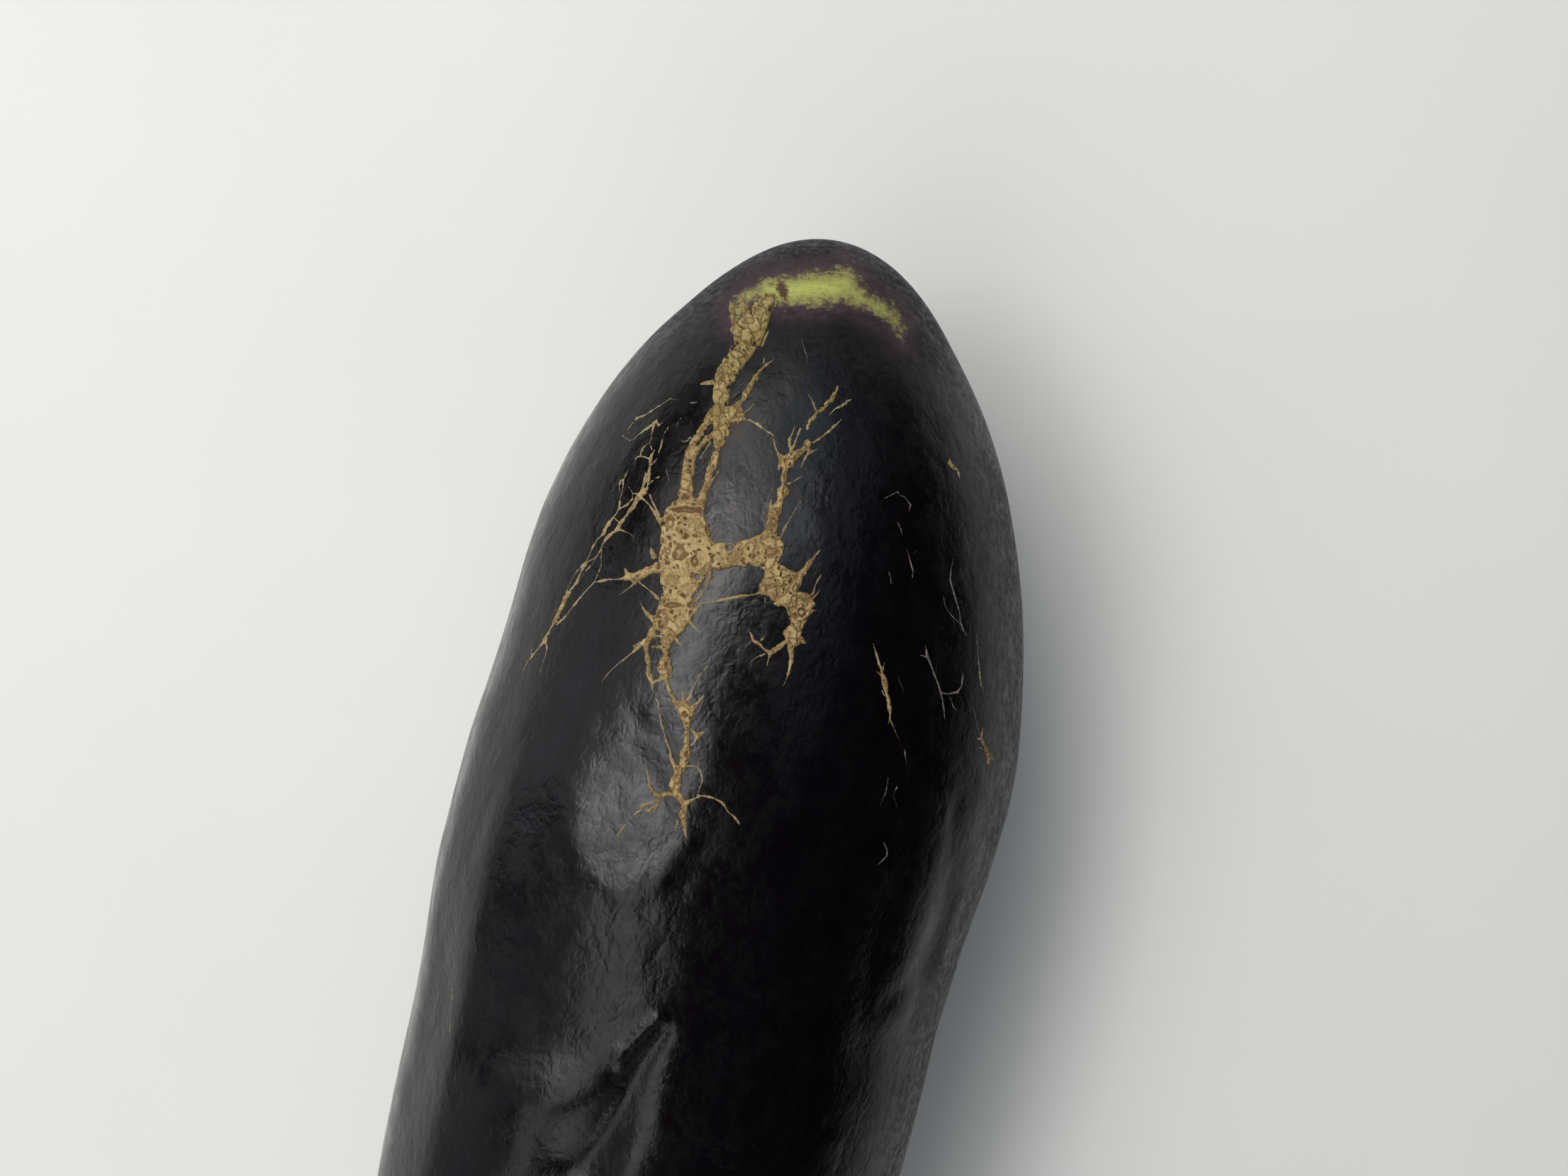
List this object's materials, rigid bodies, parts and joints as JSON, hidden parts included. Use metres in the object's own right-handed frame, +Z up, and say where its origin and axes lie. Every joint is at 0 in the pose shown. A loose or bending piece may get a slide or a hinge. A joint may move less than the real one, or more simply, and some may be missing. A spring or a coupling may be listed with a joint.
{
  "type": "eggplant",
  "caption": "Whole ripe eggplant lying on its side, with a green lobed calyx, a short cut stem and a branching cork scar on its dark glossy skin.",
  "frame": {"origin": "middle of the small flat spot that the fruit rests on, under its centre of mass", "axes": "+Z up, +Y along the fruit from the stem end to the blossom end, +X to the right as seen from above with the blossom end away"},
  "size_m": [0.076, 0.238, 0.072],
  "materials": {
    "fruit_skin": "thin waxy black-purple skin, glossy, with fine lengthwise grain",
    "scar_cork": "dry tan cork, rough",
    "calyx_green": "leathery green with fine ribs, satin",
    "stem_green": "ribbed green stalk with a dry brown cut end"
  },
  "bodies": {
    "root": {"fruit": "fruit_skin", "calyx": "calyx_green", "stem": "stem_green"}
  },
  "joints": []
}
